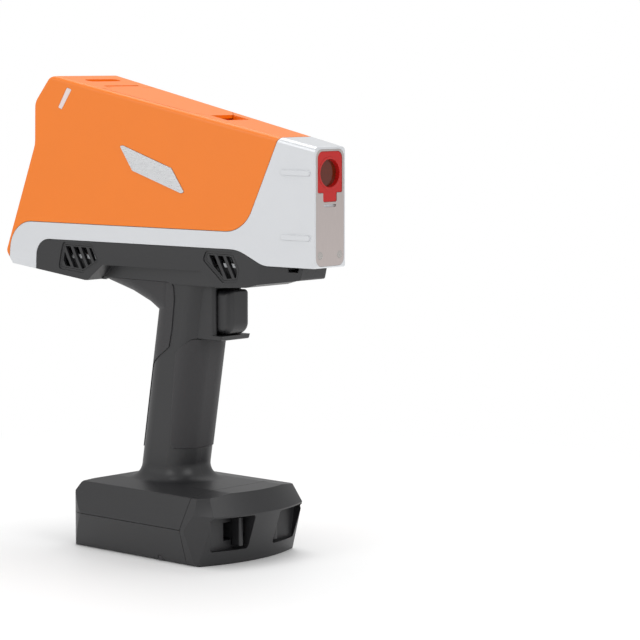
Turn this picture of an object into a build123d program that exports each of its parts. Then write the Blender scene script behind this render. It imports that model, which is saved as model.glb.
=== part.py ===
from build123d import *
import os
from math import atan, cos, degrees, hypot, pi, sin, tan

# Handheld X-ray fluorescence analyzer of the pistol-grip kind.
# Millimetres. +X points to the nose, +Y to the left, +Z up; the origin is on the table under the middle.
# The head is one long ruled wedge.  Its orange cover, silver nose housing and black grip shells are all
# cut from that wedge, so they lie flush, and the seams between them are drawn once in side view.

os.makedirs("parts", exist_ok=True)

# ---------------------------------------------------------------- head
nose_x = 121.0                   # front face of the measuring nose
tail_x = -121.4                  # rearmost point of the head
brow_x = -85.0                   # rear end of the sloping roof
head_height = 289.0              # roof above the table at the brow
roof_slope = 0.193               # fall of the roof for each millimetre forward
waist_z = 179.0                  # height at which the head is widest, and the underside of the nose
tail_half_width = 36.5           # half width at the tail, at the waist
tail_roof_half_width = 29.5      # half width at the tail, at the roof
nose_half_width = 12.9           # half width of the nose, constant over its height
roof_edge_radius = 3.0           # rounding of the long roof edges
nose_edge_radius = 1.5           # rounding of the front edges of the nose
head_wall = 2.6                  # wall of the moulded shells
seam_gap = 0.3                   # open line between neighbouring shells
section_low_z = 158.0            # lower end of the wedge's sections, below the underside
cavity_floor_z = 176.0           # floor of the inside of the head

tail_edge_z = 171.4              # lower rear corner
tail_edge_x = -116.2
screen_kink_z = 246.5            # where the sloping screen side turns upright
screen_kink_x = -100.0
brow_chamfer_z = 272.5
rear_belly_x = -56.0             # rear end of the flank facets
rear_belly_z = 163.7
front_belly_x = 49.7             # front end of the flank facets
front_belly_z = 164.5
chin_x = 109.5                   # front end of the black chin under the nose
chin_crease_x = 79.0             # where the chin starts to narrow
chin_z = 167.8
chin_half_width = 10.0

# seam between the orange cover and the silver band, in side view
cover_seam_z = 198.2
cover_seam_tail_x = -117.2
cover_seam_front_x = 68.3
cover_seam_roof_x = 94.3

# seam between the silver band and the black shells, in side view
band_seam_z = 187.7
band_seam_tail_x = -95.5
band_seam_front_x = 64.1
band_seam_chin_x = 83.1

# flank facets, which turn the side walls in towards the handle
flank_top_z = 173.7
flank_front_top_x = 36.0
flank_rear_top_x = -41.4
flank_foot_z = 165.0
flank_foot_half_width = 18.0

# ---------------------------------------------------------------- display end
display_tilt_run = 21.0          # the screen plane moves this far forward ...
display_tilt_rise = 67.7         # ... for this rise
display_foot_x = -118.3          # lower edge of the screen plane
display_foot_z = 181.0
bezel_low = 2.5                  # lower edge of the bezel, measured up the screen plane
bezel_high = 84.0
bezel_low_half_width = 30.0
bezel_high_half_width = 24.0
bezel_corner_radius = 5.0
bezel_thickness = 3.0
bezel_clearance = 0.2
glass_low = 19.0
glass_margin = 2.5               # black frame between the bezel's edge and the glass
glass_recess = 0.4
gasket_width = 2.0
gasket_thickness = 0.6
module_thickness = 4.5
module_margin = 3.0
key_width = 9.0
key_height = 6.0
key_pitch = 12.0
key_row = 10.5                   # height of the key row up the screen plane
key_proud = 0.9
key_clearance = 0.3
key_travel = 0.6
board_thickness = 1.6

# ---------------------------------------------------------------- port door on the roof
door_axis_u = 34.0               # hinge axis, measured along the roof from the brow
door_front_u = 121.0
door_rear_half_width = 22.0
door_front_half_width = 17.0
door_nose_half_width = 9.5
door_nose_length = 8.0
door_thickness = 2.2
door_gap = 0.3
door_barrel_radius = 2.4
door_barrel_half_length = 14.0
door_shoulder = 4.5              # the full-width plate starts this far ahead of the hinge axis
pin_radius = 1.2
pin_clearance = 0.05
pin_seat_clearance = 0.02
lug_width = 3.2
tray_depth = 17.0
tray_wall = 1.5
tray_inset = 4.2                 # from the door's edge in to the tray's opening
tray_rim = 2.8                   # width of the ledge that the door closes on
tray_rear_u = 42.0
tray_front_u = 110.0
seal_width = 2.0
seal_thickness = 0.4
scoop_length = 14.0              # finger scoop ahead of the door
scoop_half_width = 9.5
scoop_depth = 7.0
scoop_wall = 2.0
roof_slot_u = 15.0               # shallow slot behind the door
roof_slot_length = 28.0
roof_slot_width = 6.5
roof_slot_depth = 1.6

# ---------------------------------------------------------------- nose
plate_thickness = 1.6
plate_margin = 1.0
plate_corner_radius = 4.5
plate_clearance = 0.1
aperture_z = 234.0
aperture_radius = 8.0
carrier_half_width = 10.4
carrier_top_z = 246.6
carrier_shoulder_z = 222.8
carrier_tab_half_width = 5.7
carrier_tab_z = 217.5
carrier_thickness = 3.2
carrier_clearance = 0.15
aperture_ring_radius = 9.5
aperture_ring_proud = 0.4
film_thickness = 0.4
nose_screw_y = 8.4
nose_screw_z = 186.6
nose_rib_low_z = 196.6
nose_rib_high_z = 234.1
nose_rib_mid_x = 107.0
nose_rib_length = 21.5
nose_rib_width = 3.0
nose_rib_proud = 0.8

# ---------------------------------------------------------------- handle
handle_length = 41.0             # section of the handle, fore and aft
handle_width = 33.5
handle_corner_radius = 13.0
handle_foot_x = -8.2             # centre of the handle where it meets the foot
handle_lean = 0.17               # forward lean for each millimetre of height
handle_wall = 3.2
handle_flare_radius = 9.0
web_half_width = 17.0            # saddle over the hand
web_edge_radius = 8.0
insert_depth = 1.6
insert_proud = 0.5
insert_gap = 0.2

# ---------------------------------------------------------------- trigger
boss_half_width = 12.5
boss_front_x = 38.5
boss_low_z = 131.5
boss_lip_x = 45.0
boss_edge_radius = 3.0
trigger_half_width = 9.3
trigger_front_x = 48.5
trigger_rear_x = 27.0
trigger_low_z = 134.8
trigger_high_z = 162.0
trigger_edge_radius = 7.0
trigger_clearance = 0.4
trigger_travel = 5.0
switch_x = 14.0
switch_length = 6.0
spring_coil_radius = 2.6
spring_wire_radius = 0.4
spring_turns = 5

# ---------------------------------------------------------------- foot and battery
foot_height = 43.0
foot_seam_z = 21.0
foot_half_width = 45.0
foot_sole_half_width = 42.0
foot_ridge_half_width = 40.5
foot_ridge_z = 40.5
foot_crown_half_width = 22.0
foot_rear_x = -61.0
foot_rear_corner_radius = 18.0
foot_sole_front_x = 62.0
foot_lip_front_x = 72.4
foot_lip_z = 30.5
foot_crown_front_x = 66.0
foot_side_end_x = 44.0
foot_bow = 9.0
foot_wall = 2.6
cap_seam_low_x = 44.5
cap_seam_mid_x = 41.0
cap_seam_high_x = 47.5
recess_inner_y = 10.5
recess_outer_low_y = 36.0
recess_outer_high_y = 39.5
recess_low_z = 8.5
recess_high_z = 29.5
recess_back_x = 56.0
cap_web = 3.0                    # wall between the finger recesses and the latch space
case_rear_x = -46.0
case_front_x = 32.0
case_half_width = 35.5
case_low_z = 3.4
case_high_z = 36.0
case_wall = 2.0
bay_clearance = 0.4
latch_inner_y = 13.0
latch_bar_width = 3.5
latch_bar_front_x = 63.5
latch_travel = 2.3
latch_clearance = 0.4
latch_arm_thickness = 4.0
latch_nose_y = 38.5
terminal_thickness = 3.6
terminal_half_width = 13.0

# ---------------------------------------------------------------- helpers


def roof_z(x):
    """Height of the roof plane at a given length along the body."""
    return head_height - roof_slope * (x - brow_x)


roof_angle = atan(roof_slope)
roof_plane = Plane(
    origin=(brow_x, 0, head_height),
    x_dir=(cos(roof_angle), 0, -sin(roof_angle)),
    z_dir=(sin(roof_angle), 0, cos(roof_angle)),
)
display_angle = atan(display_tilt_run / display_tilt_rise)
display_plane = Plane(
    origin=(display_foot_x, 0, display_foot_z),
    x_dir=(0, -1, 0),
    z_dir=(-cos(display_angle), 0, sin(display_angle)),
)


def prism(plane, points, radii, amount, both=False, grow=0.0):
    """Extruded closed outline with rounded corners, the outline grown by grow first."""
    with BuildPart() as body:
        with BuildSketch(plane):
            with BuildLine():
                FilletPolyline(*points, radius=radii, close=True)
            make_face()
            if grow:
                offset(amount=grow, kind=Kind.INTERSECTION)
        extrude(amount=amount, both=both)
    return body.part


def side_prism(points, radii=0, grow=0.0, reach=60.0):
    """Outline in side view (X, Z), extruded across the whole width."""
    return prism(Plane.XZ, points, radii, reach, True, grow)


def head_station(x, inset):
    """Six corners of the head's cross-section at a length x, drawn in by inset."""
    share = (x - tail_x) / (nose_x - tail_x)
    low = tail_half_width + share * (nose_half_width - tail_half_width) - inset
    high = tail_roof_half_width + share * (nose_half_width - tail_roof_half_width) - inset
    roof = roof_z(x) - inset
    return [
        (x, -low, section_low_z),
        (x, -low, waist_z),
        (x, -high, roof),
        (x, high, roof),
        (x, low, waist_z),
        (x, low, section_low_z),
    ]


def wedge(inset):
    """The block of the head, drawn in by inset: two six-sided stations joined by ruled faces."""
    tail = head_station(tail_x, inset)
    nose = head_station(nose_x, inset)
    faces = [Face(Wire.make_polygon(tail)), Face(Wire.make_polygon(nose))]
    for corner in range(len(tail)):
        following = (corner + 1) % len(tail)
        tail_edge = Edge.make_line(tail[corner], tail[following])
        nose_edge = Edge.make_line(nose[corner], nose[following])
        faces.append(Face.make_surface_from_curves(tail_edge, nose_edge))
    with BuildPart() as block:
        add(Solid(Shell(faces)))
        above_waist = block.edges().filter_by(lambda edge: edge.center().Z > waist_z + 1.0)
        roof_edges = above_waist.filter_by(lambda edge: abs(edge.center().X) < nose_x / 2 and abs(edge.center().Y) > 1.0)
        fillet(roof_edges, max(roof_edge_radius - inset, 1.0))
    return block.part


head_outline = [
    (tail_edge_x, tail_edge_z),
    (tail_x, waist_z),
    (screen_kink_x, screen_kink_z),
    (screen_kink_x - 1.0, brow_chamfer_z),
    (brow_x - 3.0, roof_z(brow_x - 3.0)),
    (nose_x, roof_z(nose_x)),
    (nose_x, waist_z),
    (chin_x, waist_z),
    (chin_x - 2.2, tail_edge_z),
    (chin_crease_x, chin_z),
    (front_belly_x + 21.0, front_belly_z + 1.1),
    (front_belly_x, front_belly_z),
    (rear_belly_x, rear_belly_z),
]
head_radii = [1.5, 4, 14, 9, 7, nose_edge_radius, nose_edge_radius, 0, 2, 3, 3, 0, 0]
cover_seam = [
    (cover_seam_tail_x - 2.3, tail_edge_z - 3.4),
    (cover_seam_tail_x, cover_seam_z),
    (cover_seam_front_x, cover_seam_z),
    (cover_seam_roof_x, roof_z(cover_seam_roof_x) + 0.6),
    (nose_x + 4.0, roof_z(cover_seam_roof_x) + 3.0),
]
cover_seam_radii = [0, 17, 21.5, 6, 0]
band_seam = [
    (band_seam_tail_x - 1.5, section_low_z - 2.0),
    (band_seam_tail_x, band_seam_z),
    (band_seam_front_x, band_seam_z),
    (band_seam_chin_x, waist_z),
    (nose_x + 4.0, waist_z),
]
band_seam_radii = [0, 10, 27, 18, 0]
far = 60.0

cover_region = side_prism(
    [*cover_seam, (nose_x + 4.0, head_height + far), (tail_x - far, head_height + far), (tail_x - far, 168.0)],
    [*cover_seam_radii, 0, 0, 0],
    -seam_gap / 2,
)
band_region = side_prism(
    [*cover_seam, *reversed(band_seam)],
    [*cover_seam_radii, *reversed(band_seam_radii)],
    -seam_gap / 2,
)
shell_region = side_prism(
    [*band_seam, (nose_x + 4.0, section_low_z - 2.0)],
    [*band_seam_radii, 0],
    -seam_gap / 2,
)

with BuildPart() as head_form:
    add(wedge(0))
    add(side_prism(head_outline, head_radii), mode=Mode.INTERSECT)

bezel_back = -(bezel_thickness + bezel_clearance)
cavity_front_x = nose_x - plate_thickness - head_wall
with BuildPart() as head_cavity:
    add(wedge(head_wall))
    add(side_prism(head_outline, head_radii, -head_wall), mode=Mode.INTERSECT)
    add(
        side_prism(
            [
                (tail_x, cavity_floor_z),
                (cavity_front_x, cavity_floor_z),
                (cavity_front_x, head_height),
                (tail_x, head_height),
            ]
        ),
        mode=Mode.INTERSECT,
    )
    with BuildSketch(display_plane.offset(bezel_back)):
        Rectangle(3 * far, 6 * far)
    extrude(amount=far, mode=Mode.SUBTRACT)


def skin(outer, inner, region):
    """The layer of the head's side skin between two depths, within a side-view region."""
    with BuildPart() as layer:
        add(wedge(outer))
        add(wedge(inner), mode=Mode.SUBTRACT)
        add(region, mode=Mode.INTERSECT)
    return layer.part


def one_side(body, plane_side):
    """The half of a body on one side of the middle plane: +1 left, -1 right."""
    with BuildPart() as half:
        add(body)
        split(bisect_by=Plane.XZ, keep=Keep.BOTTOM if plane_side > 0 else Keep.TOP)
    return half.part


def write(builder, name):
    builder.part.label = name
    export_step(builder.part, f"parts/{name}.step")


# ---------------------------------------------------------------- outlines of the door and its tray
door_axis_w = -door_barrel_radius      # the barrel is tangent to the roof
door_swing_radius = hypot(door_shoulder - door_gap / 2, door_barrel_radius)


def door_outline(grow):
    """Outline of the port door's plate on the roof plane, ahead of its barrel."""
    shoulder_u = door_axis_u + door_shoulder
    nose_u = door_front_u - door_nose_length
    points = [
        (shoulder_u, -door_rear_half_width),
        (nose_u, -door_front_half_width),
        (door_front_u, -door_nose_half_width),
        (door_front_u, door_nose_half_width),
        (nose_u, door_front_half_width),
        (shoulder_u, door_rear_half_width),
    ]
    return [points, [0, 4, 2, 2, 4, 0], grow]


def roof_prism(points, radii, low, high, grow=0.0):
    """Outline on the roof plane, extruded between two depths below it."""
    return prism(roof_plane.offset(low), points, radii, high - low, False, grow)


def box_on(plane, low, high):
    """Block on a plane between two opposite corners."""
    with BuildPart() as block:
        with BuildSketch(plane.offset(low[2])):
            with Locations(((low[0] + high[0]) / 2, (low[1] + high[1]) / 2)):
                Rectangle(high[0] - low[0], high[1] - low[1])
        extrude(amount=high[2] - low[2])
    return block.part


barrel_plane = Plane(origin=roof_plane.from_local_coords((door_axis_u, 0, door_axis_w)), z_dir=(0, 1, 0))


def barrel(radius, half_length):
    """Cylinder across the roof on the door's hinge axis."""
    with BuildPart() as body:
        with BuildSketch(barrel_plane):
            Circle(radius)
        extrude(amount=half_length, both=True)
    return body.part


lug_inner = door_barrel_half_length + door_gap
lug_outer = lug_inner + lug_width
barrel_space = roof_prism(
    [
        (door_axis_u - door_barrel_radius - door_gap, -lug_inner),
        (door_axis_u + door_shoulder, -lug_inner),
        (door_axis_u + door_shoulder, lug_inner),
        (door_axis_u - door_barrel_radius - door_gap, lug_inner),
    ],
    0,
    -2 * door_barrel_radius - 2 * door_gap,
    1.0,
)
door_space = roof_prism(*door_outline(door_gap)[:2], -head_wall - 0.5, 1.0, door_gap)

# ---------------------------------------------------------------- display stack outlines


def bezel_outline():
    """Tapered outline of the display bezel on the screen plane."""
    return [
        (-bezel_low_half_width, bezel_low),
        (bezel_low_half_width, bezel_low),
        (bezel_high_half_width, bezel_high),
        (-bezel_high_half_width, bezel_high),
    ]


def screen_half_width(v, margin):
    """Half width of the bezel at a height up the screen plane, less a margin."""
    share = (v - bezel_low) / (bezel_high - bezel_low)
    return bezel_low_half_width + share * (bezel_high_half_width - bezel_low_half_width) - margin


def glass_outline():
    """Tapered outline of the touch glass, inside the bezel and above the keys."""
    glass_high = bezel_high - glass_margin
    low = screen_half_width(glass_low, glass_margin)
    high = screen_half_width(glass_high, glass_margin)
    return [(-low, glass_low), (low, glass_low), (high, glass_high), (-high, glass_high)]


def on_display(points, radius, low, high, grow=0.0):
    """Outline on the screen plane, extruded between two levels of that plane."""
    return prism(display_plane.offset(low), points, radius, high - low, False, grow)


display_window = on_display(bezel_outline(), bezel_corner_radius, -bezel_thickness - bezel_clearance, 40.0, bezel_clearance)

# ---------------------------------------------------------------- small side fittings
badge_outline = [(-29.0, 246.8), (-26.7, 247.1), (12.5, 234.3), (22.6, 220.4), (20.4, 219.6), (-18.5, 232.1)]
badge_depth = 0.6
badge_proud = 0.4
badge_gap = 0.15
status_outline = [(-81.2, 269.6), (-78.4, 268.4), (-70.6, 280.6), (-74.4, 281.8)]
status_depth = 1.6

badge_region = side_prism(badge_outline, 0.5)
status_region = side_prism(status_outline, 0.6)

# ---------------------------------------------------------------- upper cover
scoop_rear_u = door_front_u - 4.0
scoop_front_u = door_front_u + scoop_length
with BuildPart() as scoop_cut:
    with BuildSketch(Plane(barrel_plane.origin, x_dir=roof_plane.x_dir, z_dir=(0, -1, 0))):
        with BuildLine():
            FilletPolyline(
                (scoop_rear_u - door_axis_u, door_barrel_radius + 1.0),
                (scoop_rear_u - door_axis_u, door_barrel_radius - scoop_depth),
                (scoop_rear_u - door_axis_u + 5.0, door_barrel_radius - scoop_depth),
                (scoop_front_u - door_axis_u, door_barrel_radius),
                (scoop_front_u - door_axis_u + 1.0, door_barrel_radius + 1.0),
                radius=[0, 1.5, 3, 0, 0],
                close=True,
            )
        make_face()
    extrude(amount=scoop_half_width, both=True)

with BuildPart() as upper_cover:
    add(head_form.part)
    add(head_cavity.part, mode=Mode.SUBTRACT)
    add(cover_region, mode=Mode.INTERSECT)
    # lugs of the door hinge and the pan of the finger scoop hang from the roof skin
    for side in (-1, 1):
        with BuildSketch(roof_plane.offset(2 * door_axis_w)):
            with Locations((door_axis_u, side * (lug_inner + lug_width / 2))):
                Rectangle(2 * door_barrel_radius, lug_width)
        extrude(amount=2 * door_barrel_radius - 0.5)
    add(
        box_on(
            roof_plane,
            (scoop_rear_u - scoop_wall, -scoop_half_width - scoop_wall, -scoop_depth - scoop_wall),
            (scoop_front_u, scoop_half_width + scoop_wall, -0.5),
        )
    )
    add(scoop_cut.part, mode=Mode.SUBTRACT)
    add(door_space, mode=Mode.SUBTRACT)
    add(barrel_space, mode=Mode.SUBTRACT)
    with BuildSketch(barrel_plane):
        Circle(pin_radius + pin_seat_clearance)
    extrude(amount=lug_outer + 0.5, both=True, mode=Mode.SUBTRACT)
    add(display_window, mode=Mode.SUBTRACT)
    with BuildSketch(roof_plane.offset(-roof_slot_depth)):
        with Locations((roof_slot_u, 0)):
            SlotOverall(roof_slot_length, roof_slot_width, rotation=90)
    extrude(amount=2 * roof_slot_depth, mode=Mode.SUBTRACT)
    add(skin(-1.0, badge_depth + 0.02, side_prism(badge_outline, 0.5, badge_gap)), mode=Mode.SUBTRACT)
    add(skin(-1.0, status_depth + 0.02, side_prism(status_outline, 0.6, badge_gap)), mode=Mode.SUBTRACT)
write(upper_cover, "upper_cover")



def write_pair(right_half, name):
    """Write a piece of the right side and its mirror image on the left."""
    with BuildPart() as right_piece:
        add(right_half)
    write(right_piece, f"{name}_right")
    with BuildPart() as left_piece:
        add(right_half)
        mirror(about=Plane.XZ, mode=Mode.REPLACE)
    write(left_piece, f"{name}_left")


write_pair(one_side(skin(-badge_proud, badge_depth, badge_region), -1), "name_plate")
write_pair(one_side(skin(0, status_depth, status_region), -1), "status_window")

# ---------------------------------------------------------------- nose housing and what it carries
carrier_outline = [
    (-carrier_half_width, carrier_top_z),
    (-carrier_half_width, carrier_shoulder_z),
    (-carrier_tab_half_width, carrier_shoulder_z),
    (-carrier_tab_half_width, carrier_tab_z),
    (carrier_tab_half_width, carrier_tab_z),
    (carrier_tab_half_width, carrier_shoulder_z),
    (carrier_half_width, carrier_shoulder_z),
    (carrier_half_width, carrier_top_z),
]
carrier_radii = [4.0, 1, 0.5, 1, 1, 0.5, 1, 4.0]
plate_half_width = nose_half_width - plate_margin
plate_low_z = waist_z + plate_margin + 0.3
plate_high_z = roof_z(nose_x) - plate_margin - 0.5
plate_outline = [
    (-plate_half_width, plate_low_z),
    (plate_half_width, plate_low_z),
    (plate_half_width, plate_high_z),
    (-plate_half_width, plate_high_z),
]


def on_nose(points, radii, back, front, grow=0.0):
    """Outline on the nose face (Y, Z), extruded between two lengths along the body."""
    return prism(Plane.YZ.offset(back), points, radii, front - back, False, grow)


carrier_back_x = nose_x - carrier_thickness
rib_half = nose_rib_length / 2
rib_regions = [
    side_prism(
        [
            (nose_rib_mid_x - rib_half, z - nose_rib_width / 2),
            (nose_rib_mid_x + rib_half, z - nose_rib_width / 2),
            (nose_rib_mid_x + rib_half, z + nose_rib_width / 2),
            (nose_rib_mid_x - rib_half, z + nose_rib_width / 2),
        ],
        nose_rib_width / 2 - 0.01,
    )
    for z in (nose_rib_low_z, nose_rib_high_z)
]

with BuildPart() as nose_housing:
    add(head_form.part)
    add(head_cavity.part, mode=Mode.SUBTRACT)
    add(band_region, mode=Mode.INTERSECT)
    for region in rib_regions:
        add(skin(-nose_rib_proud, 0.5, region))
    add(on_nose(plate_outline, plate_corner_radius, nose_x - plate_thickness, nose_x + 1.0, plate_clearance), mode=Mode.SUBTRACT)
    add(on_nose(carrier_outline, carrier_radii, carrier_back_x, nose_x + 1.0, carrier_clearance), mode=Mode.SUBTRACT)
    with BuildSketch(Plane.YZ.offset(cavity_front_x - 1.0)):
        with Locations((0, aperture_z)):
            Circle(aperture_radius)
        with Locations(*[(side * nose_screw_y, nose_screw_z) for side in (-1, 1)]):
            Circle(pin_radius)
    extrude(amount=far, mode=Mode.SUBTRACT)
    add(display_window, mode=Mode.SUBTRACT)
write(nose_housing, "nose_housing")

screw_head_radius = 2.2
screw_head_height = 1.2
screw_shank_length = 5.0
screw_slack = 0.05
with BuildPart() as nose_plate:
    add(on_nose(plate_outline, plate_corner_radius, nose_x - plate_thickness, nose_x))
    add(on_nose(carrier_outline, carrier_radii, nose_x - 2.0, nose_x + 1.0, carrier_clearance), mode=Mode.SUBTRACT)
    with Locations(*[Plane.YZ * Pos(side * nose_screw_y, nose_screw_z, nose_x) for side in (-1, 1)]):
        CounterBoreHole(pin_radius + screw_slack, screw_head_radius + screw_slack, screw_head_height, depth=2 * plate_thickness)
    with BuildSketch(Plane.YZ.offset(nose_x - plate_thickness)):
        with Locations((0, carrier_tab_z - 2.2)):
            SlotOverall(2 * carrier_tab_half_width - 0.8, 1.6)
    extrude(amount=far, mode=Mode.SUBTRACT)
write(nose_plate, "nose_plate")

with BuildPart() as nose_plate_screws:
    for side in (-1, 1):
        with Locations(Plane.YZ * Pos(side * nose_screw_y, nose_screw_z, nose_x - screw_head_height / 2)):
            Cylinder(screw_head_radius, screw_head_height)
        with Locations(Plane.YZ * Pos(side * nose_screw_y, nose_screw_z, nose_x - screw_head_height - screw_shank_length / 2)):
            Cylinder(pin_radius - screw_slack, screw_shank_length)
write(nose_plate_screws, "nose_plate_screws")

film_x = carrier_back_x
with BuildPart() as window_carrier:
    add(on_nose(carrier_outline, carrier_radii, carrier_back_x + film_thickness, nose_x - 0.2))
    with BuildSketch(Plane.YZ.offset(carrier_back_x + film_thickness)):
        with Locations((0, aperture_z)):
            Circle(aperture_ring_radius)
    extrude(amount=nose_x - carrier_back_x - film_thickness)
    with BuildSketch(Plane.YZ.offset(carrier_back_x)):
        with Locations((0, aperture_z)):
            Circle(aperture_radius - 0.2)
    extrude(amount=far, taper=-8, mode=Mode.SUBTRACT)
write(window_carrier, "window_carrier")

with BuildPart() as window_film:
    with BuildSketch(Plane.YZ.offset(carrier_back_x)):
        with Locations((0, aperture_z)):
            Circle(carrier_half_width - 0.6)
    extrude(amount=film_thickness)
write(window_film, "window_film")

# ---------------------------------------------------------------- port door and tray
with BuildPart() as port_door:
    add(roof_prism(*door_outline(0)[:2], -door_thickness, 0))
    # the rear edge is hollowed about the hinge so that it clears the cover as the door swings
    add(barrel(door_swing_radius, door_rear_half_width + 1.0), mode=Mode.SUBTRACT)
    add(
        roof_prism(
            [
                (door_axis_u, -door_barrel_half_length),
                (door_axis_u + 2 * door_shoulder, -door_barrel_half_length),
                (door_axis_u + 2 * door_shoulder, door_barrel_half_length),
                (door_axis_u, door_barrel_half_length),
            ],
            0,
            -door_thickness,
            0,
        )
    )
    add(barrel(door_barrel_radius, door_barrel_half_length))
    add(barrel(pin_radius + pin_clearance, 2 * door_barrel_half_length), mode=Mode.SUBTRACT)
write(port_door, "port_door")

with BuildPart() as door_hinge_pin:
    add(barrel(pin_radius, lug_outer))
write(door_hinge_pin, "door_hinge_pin")


def tray_outline(shrink):
    """Outline of the tray's mouth on the roof plane."""
    return [
        (tray_rear_u + shrink, -door_rear_half_width + tray_inset + shrink),
        (tray_front_u - shrink, -door_front_half_width + tray_inset + shrink),
        (tray_front_u - shrink, door_front_half_width - tray_inset - shrink),
        (tray_rear_u + shrink, door_rear_half_width - tray_inset - shrink),
    ]


rim_top_w = -head_wall - 0.1
with BuildPart() as door_seal:
    add(roof_prism(tray_outline(-seal_width - 0.4), 4, -door_thickness - seal_thickness, -door_thickness))
    add(roof_prism(tray_outline(-0.4), 3, -door_thickness - seal_thickness, -door_thickness), mode=Mode.SUBTRACT)
write(door_seal, "door_seal")

with BuildPart() as port_tray:
    add(roof_prism(tray_outline(-tray_rim), 4, rim_top_w - tray_wall, rim_top_w))
    add(roof_prism(tray_outline(-tray_wall), 3, -tray_depth, rim_top_w - tray_wall / 2))
    add(roof_prism(tray_outline(0), 2, -tray_depth + tray_wall, 1.0), mode=Mode.SUBTRACT)
write(port_tray, "port_tray")

socket_width = 12.2
socket_height = 5.8
socket_length = 9.0
socket_pitch = 13.0
socket_u = 92.0
with BuildPart() as usb_sockets:
    for side in (-0.5, 0.5):
        add(
            box_on(
                roof_plane,
                (socket_u, side * socket_pitch - socket_width / 2, -tray_depth + tray_wall),
                (socket_u + socket_length, side * socket_pitch + socket_width / 2, -tray_depth + tray_wall + socket_height),
            )
        )
        add(
            box_on(
                roof_plane,
                (socket_u - 1.0, side * socket_pitch - socket_width / 2 + 0.6, -tray_depth + tray_wall + 0.6),
                (socket_u + socket_length - 1.0, side * socket_pitch + socket_width / 2 - 0.6, -tray_depth + tray_wall + socket_height - 0.6),
            ),
            mode=Mode.SUBTRACT,
        )
write(usb_sockets, "usb_sockets")

# ---------------------------------------------------------------- display, keys and boards
key_names = ["power_button", "left_key", "home_key", "right_key"]
key_places = [(i - 1.5) * key_pitch for i in range(len(key_names))]

with BuildPart() as display_bezel:
    add(on_display(bezel_outline(), bezel_corner_radius, -bezel_thickness, 0))
    add(on_display(glass_outline(), 3, -bezel_thickness - 1.0, 1.0, 0.15), mode=Mode.SUBTRACT)
    with BuildSketch(display_plane.offset(-bezel_thickness)):
        with Locations(*[(place, key_row) for place in key_places]):
            RectangleRounded(key_width + 2 * key_clearance, key_height + 2 * key_clearance, 2.3)
    extrude(amount=far, mode=Mode.SUBTRACT)
write(display_bezel, "display_bezel")

with BuildPart() as touch_glass:
    add(on_display(glass_outline(), 3, -bezel_thickness, -glass_recess))
write(touch_glass, "touch_glass")

gasket_back = -bezel_thickness - bezel_clearance - gasket_thickness
with BuildPart() as display_gasket:
    add(on_display(glass_outline(), 4, gasket_back, -bezel_thickness, gasket_width))
    add(on_display(glass_outline(), 2, gasket_back - 1.0, 1.0, -gasket_width), mode=Mode.SUBTRACT)
write(display_gasket, "display_gasket")

with BuildPart() as display_module:
    add(on_display(glass_outline(), 2, gasket_back - module_thickness, gasket_back, 0.5))
write(display_module, "display_module")

keypad_front = -bezel_thickness - key_clearance
key_thickness = key_proud - keypad_front - key_travel - 0.1
for name, place in zip(key_names, key_places):
    with BuildPart() as key:
        with BuildSketch(display_plane.offset(key_proud - key_thickness)):
            with Locations((place, key_row)):
                RectangleRounded(key_width, key_height, 2)
        extrude(amount=key_thickness)
        fillet(key.faces().sort_by(Axis((0, 0, 0), display_plane.z_dir))[-1].edges(), 0.5)
    write(key, name)

with BuildPart() as keypad_board:
    with BuildSketch(display_plane.offset(keypad_front - board_thickness)):
        with Locations((0, key_row)):
            Rectangle(4 * key_pitch + 4.0, key_height + 5.0)
    extrude(amount=board_thickness)
write(keypad_board, "keypad_board")

# ---------------------------------------------------------------- vents
vent_depth = 7.0
vent_recess = 0.7
vent_thickness = 2.2
vent_gap = 0.15
vent_frame_width = 1.0
vent_rib_width = 1.0
vent_slot_pitch = 5.6
vent_slot_width = 3.6
vent_slot_lean = 28.0            # degrees from upright
vent_frames = {
    "rear": [(-73.0, 185.0), (-50.5, 184.6), (-45.2, 176.2), (-57.5, 169.4), (-76.0, 171.0)],
    "front": [(40.9, 184.7), (60.0, 184.4), (64.8, 176.1), (63.2, 169.9), (53.4, 168.9), (39.4, 181.0)],
}


def vent_slots(points):
    """Slanted slots across a vent's frame, as one side-view body."""
    centre_x = sum(p[0] for p in points) / len(points)
    centre_z = sum(p[1] for p in points) / len(points)
    with BuildPart() as slots:
        with BuildSketch(Plane.XZ):
            with Locations(Location((centre_x, centre_z, 0), (0, 0, vent_slot_lean))):
                with GridLocations(vent_slot_pitch, 0, 7, 1):
                    Rectangle(vent_slot_width, far)
        extrude(amount=far, both=True)
        add(side_prism(points, 0.8, -vent_frame_width), mode=Mode.INTERSECT)
    return slots.part


# ---------------------------------------------------------------- handle form
def handle_x(z):
    """Centre of the leaning handle at a height."""
    return handle_foot_x + handle_lean * (z - foot_height)


web_outline = [
    (rear_belly_x + 4.0, flank_foot_z + 7.0),
    (rear_belly_x + 4.0, 163.0),
    (-31.0, 157.6),
    (-15.0, 151.5),
    (8.0, 138.0),
    (8.0, flank_foot_z + 7.0),
]


def saddle(inset):
    """Block over the hand, with its lower edges rounded."""
    with BuildPart() as block:
        add(side_prism(web_outline, [0, 0, 12, 0, 0, 0], -inset, web_half_width - inset))
        lower = block.edges().filter_by(lambda e: abs(e.center().Z - web_outline[3][1]) < 12.0)
        fillet(lower.filter_by(lambda e: abs(e.center().Y) > web_half_width - inset - 0.1), web_edge_radius - inset)
    return block.part


def grip_form(inset):
    """Leaning handle with its saddle, drawn in by inset."""
    with BuildPart() as grip:
        for z in (foot_height - 6.0, flank_foot_z + 4.0):
            with BuildSketch(Plane.XY.offset(z)):
                with Locations((handle_x(z), 0)):
                    RectangleRounded(
                        handle_length - 2 * inset, handle_width - 2 * inset, handle_corner_radius - inset
                    )
        loft(ruled=True)
        add(saddle(inset))
    return grip.part


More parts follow.
